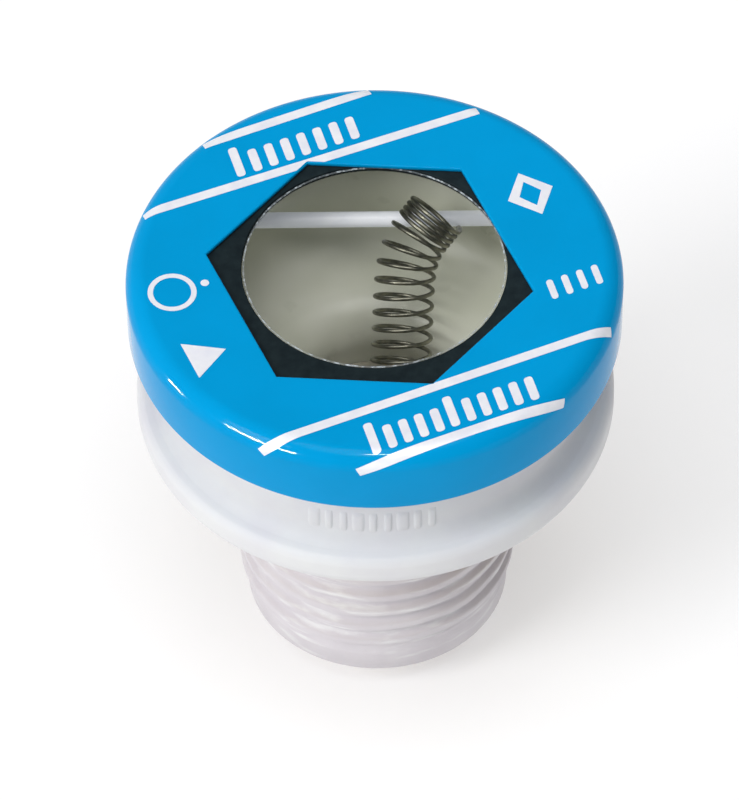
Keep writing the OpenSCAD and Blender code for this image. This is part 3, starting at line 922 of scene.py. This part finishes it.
def ring_point(centre, radius, u, v, degrees):
    """A point of a hook that turns from u towards v."""
    a = math.radians(degrees)
    return centre + radius * (math.cos(a) * u + math.sin(a) * v)


def ring_way(u, v, degrees):
    """Direction of that hook."""
    a = math.radians(degrees)
    return math.cos(a) * v - math.sin(a) * u


def join_points(p, u, q, v, pull, count):
    """Points between p and q on a smooth curve that leaves p along u and reaches q along v."""
    out = []
    for i in range(1, count):
        t = i / count
        out.append(
            p * (2 * t ** 3 - 3 * t ** 2 + 1) + u * pull * (t ** 3 - 2 * t ** 2 + t)
            + q * (3 * t ** 2 - 2 * t ** 3) + v * pull * (t ** 3 - t ** 2)
        )
    return out


def spring_paths():
    """The wire in three runs: the bunch with its hook, the stretched turns, and the hook in the eye."""
    steps = 36                  # points in a turn
    near_end = 0.02             # turns from either end at which the coil's direction is taken
    turns = BUNCH_TURNS + OPEN_TURNS
    split = BUNCH_TURNS + 0.75  # the open turns squash from here down

    under = Vector((0, -math.cos(LEAN), -math.sin(LEAN)))
    bar_hook = Vector((BUNCH_X + 1.75, BAR_Y, BAR_Z))
    bar_hook_r = BAR_R + WIRE_R + 0.09
    hook_tip, hook_root, hook_step = 204, 60, -8
    upper = [
        ring_point(bar_hook, bar_hook_r, BAR_TO_BUNCH, under, a)
        for a in range(hook_tip, hook_root - 1, hook_step)
    ]
    leave = -ring_way(BAR_TO_BUNCH, under, hook_root)
    upper += join_points(upper[-1], leave, coil_point(0), coil_way(near_end), 2.2, 16)
    upper += [coil_point(i / steps) for i in range(int(split * steps) + 1)]
    run = [coil_point(i / steps) for i in range(int(split * steps), int(turns * steps) + 1)]

    up, near = Vector((0, 0, 1)), Vector((0, -1, 0))
    eye_hook = Vector((EYE_HOLE.x, 0, EYE_HOLE.z + 0.55))
    eye_hook_r = 0.6
    eye_start, eye_end, eye_step = -10, 230, 8
    hook = [ring_point(eye_hook, eye_hook_r, up, near, a) for a in range(eye_start, eye_end + 1, eye_step)]
    arrive = ring_way(up, near, eye_start)
    lower = [run[-1]]
    lower += join_points(run[-1], coil_way(turns - near_end), hook[0], arrive, 2.4, 16)
    lower += hook
    return upper, run, lower


def make_trip():
    """Makes the bar, the spring, the pin and the link, and ties the pin and the spring's lower hook to the
    trip body.
    """
    piece("cross_bar", bar_shape(), white_rod(), slot="white_rod", stands_for=("anchor_bar",))
    steel = metal("spring steel", linear(112, 112, 100), linear(152, 150, 134), (0.3, 0.45), grain=0.5)
    upper, run, lower = spring_paths()
    settings = {"slot": "spring_steel", "stands_for": ("trip_spring",)}
    piece("spring_bunch", tube(upper, WIRE_R), steel, **settings)
    stretched = piece("spring_run", tube(run, WIRE_R), steel, **settings)
    piece("spring_hook", tube(lower, WIRE_R), steel, body="trip", **settings)
    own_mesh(stretched)
    brass = metal("pin brass", linear(196, 160, 96), linear(214, 180, 116), (0.25, 0.4))
    bevelled_copy("trip_pin", "pin", brass, 0.08, body="trip", slot="pin_brass")
    zinc = metal("zinc", linear(160, 164, 170), linear(188, 192, 198), (0.35, 0.5))
    link = bevelled_copy("fuse_link", "link", zinc, 0.03, slot="zinc")
    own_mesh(link)


# ---------------------------------------------------------------- contacts and inner pieces

def make_contacts():
    """Makes the small pieces that keep the CAD model's shape, with their edges rounded."""
    brass = metal("stamped brass", linear(205, 172, 104), linear(226, 194, 126), (0.24, 0.4), grain=1.6)
    solder = metal("solder", linear(176, 178, 182), linear(204, 206, 210), (0.3, 0.5), grain=0.9, bump=0.03)
    alloy = metal("heater alloy", linear(128, 116, 104), linear(160, 146, 130), (0.35, 0.5))
    fibre = grey_fibre()
    for node, width in (
        ("side_contact", 0.06), ("centre_contact", 0.1), ("contact_rivet", 0.05),
        ("link_terminal", 0.05), ("solder_cup", 0.08),
    ):
        bevelled_copy(node, node + "_brass", brass, width, slot="contact_brass")
    for side in ("left", "right"):
        bevelled_copy(
            f"tongue_{side}", f"{side}_spring_tongue", brass, 0.06,
            body=f"{side}_tongue", slot="contact_brass",
        )
    for node in ("link_solder", "solder_pellet", "centre_solder"):
        bevelled_copy(node, node + "_metal", solder, 0.05, slot="solder")
    bevelled_copy("heater_strip", "heater", alloy, 0.03, slot="heater_alloy")
    bevelled_copy("insulating_disc", "fibre_disc", fibre, 0.05, slot="grey_fibre")
    bevelled_copy("well_liner", "fibre_liner", fibre, 0.05, slot="grey_fibre")
    bevelled_copy("window_gasket", "gasket", pale_gasket(), 0.05, slot="pale_gasket")


# ---------------------------------------------------------------- stage, light and camera

def make_floor():
    """A plain pale floor just under the fuse."""
    material = finish_material(
        "floor", linear(203, 203, 204), linear(205, 205, 206), 60.0, (0.8, 0.9),
        Emission_Color=(1.0, 1.0, 1.0, 1.0), Emission_Strength=0.42, Specular_IOR_Level=0.0,
    )
    half = 3.0                  # metres
    gap = 0.00002               # keeps the floor from touching the fuse
    corners = [(-half, -half, 0), (half, -half, 0), (half, half, 0), (-half, half, 0)]
    mesh = bpy.data.meshes.new("floor")
    mesh.from_pydata(corners, [], [(0, 1, 2, 3)])
    mesh.materials.append(material)
    floor = bpy.data.objects.new("floor", mesh)
    floor.location.z = CAD_BOX[0][2] - gap
    bpy.context.scene.collection.objects.link(floor)


def add_sun(name, way, angle, strength):
    """A soft sun that shines along a way."""
    data = bpy.data.lights.new(name, "SUN")
    data.angle = math.radians(angle)
    data.energy = strength
    light = bpy.data.objects.new(name, data)
    light.rotation_euler = Vector(way).to_track_quat("-Z", "Y").to_euler()
    bpy.context.scene.collection.objects.link(light)


def add_glint(name, way, width, height, radiance, receivers):
    """A light only seen in the gloss of some pieces. Its width and height are in degrees."""
    distance = 0.5
    data = bpy.data.lights.new(name, "AREA")
    data.shape = "RECTANGLE"
    data.size = distance * math.radians(width)
    data.size_y = distance * math.radians(height)
    data.energy = radiance * math.pi * data.size * data.size_y
    light = bpy.data.objects.new(name, data)
    light.location = Vector(way).normalized() * distance
    light.rotation_euler = (-light.location).to_track_quat("-Z", "Y").to_euler()
    light.visible_diffuse = False
    light.visible_camera = False
    light.light_linking.receiver_collection = receivers
    bpy.context.scene.collection.objects.link(light)


def make_lights():
    """A white studio that is brighter on the left than on the right, and two soft suns."""
    world = bpy.data.worlds.new("studio")
    world.use_nodes = True
    nodes, links = world.node_tree.nodes, world.node_tree.links
    background = nodes["Background"]
    background.inputs["Color"].default_value = (1.0, 1.0, 1.0, 1.0)
    place = nodes.new("ShaderNodeTexCoord")
    parts = nodes.new("ShaderNodeSeparateXYZ")
    links.new(place.outputs["Generated"], parts.inputs["Vector"])
    left_strength, right_strength = 0.55, 0.08
    side = nodes.new("ShaderNodeMapRange")
    side.inputs["From Min"].default_value = -1.0
    side.inputs["From Max"].default_value = 1.0
    side.inputs["To Min"].default_value = left_strength
    side.inputs["To Max"].default_value = right_strength
    links.new(parts.outputs["X"], side.inputs["Value"])
    links.new(side.outputs["Result"], background.inputs["Strength"])
    bpy.context.scene.world = world
    add_sun("key", (0.62, 0.45, -0.64), 24, 1.35)
    add_sun("top", (-0.02, 0.22, -0.97), 40, 1.35)


def make_glints(pieces):
    """Three lights that draw the short bright streaks on the cap's rounded front edge."""
    receivers = bpy.data.collections.new("glint receivers")
    for obj in pieces:
        receivers.objects.link(obj)
    add_glint("glint_long", (-0.68, -0.64, 0.37), 28, 7, 400, receivers)
    add_glint("glint_left", (-0.985, -0.08, 0.14), 8, 6, 400, receivers)
    add_glint("glint_front", (0.02, -0.364, 0.931), 7, 4, 300, receivers)


def add_camera():
    """A long lens that looks down on the fuse's front, aimed a little below the cap's top."""
    elevation, roll = math.radians(49.35), math.radians(-0.56)
    distance = 0.6927           # from the middle of the cap's top, in metres
    aim_left, aim_down = math.radians(0.02383), math.radians(0.64257)   # from there to where it looks
    forward = Vector((0, math.cos(elevation), -math.sin(elevation)))
    up = Vector((0, math.sin(elevation), math.cos(elevation)))
    right = Vector((1, 0, 0))
    right, up = right * math.cos(roll) + up * math.sin(roll), up * math.cos(roll) - right * math.sin(roll)
    place = Vector((0, 0, TOP_Z * MM)) - forward * distance
    axis = (forward - right * math.tan(aim_left) - up * math.tan(aim_down)).normalized()
    side = axis.cross(up).normalized()
    up = side.cross(axis)
    data = bpy.data.cameras.new("camera")
    data.sensor_fit = "AUTO"
    data.sensor_width = 36      # millimetres
    data.lens = 528.02
    data.clip_start = 0.01
    data.clip_end = 20
    camera = bpy.data.objects.new("camera", data)
    camera.matrix_world = Matrix((side, up, -axis)).transposed().to_4x4()
    camera.location = place
    bpy.context.scene.collection.objects.link(camera)
    bpy.context.scene.camera = camera


add_camera()
make_lights()
make_floor()
make_glints(make_cap())
make_window()
make_body()
make_trip()
make_contacts()
bpy.context.scene.view_settings.view_transform = "Standard"
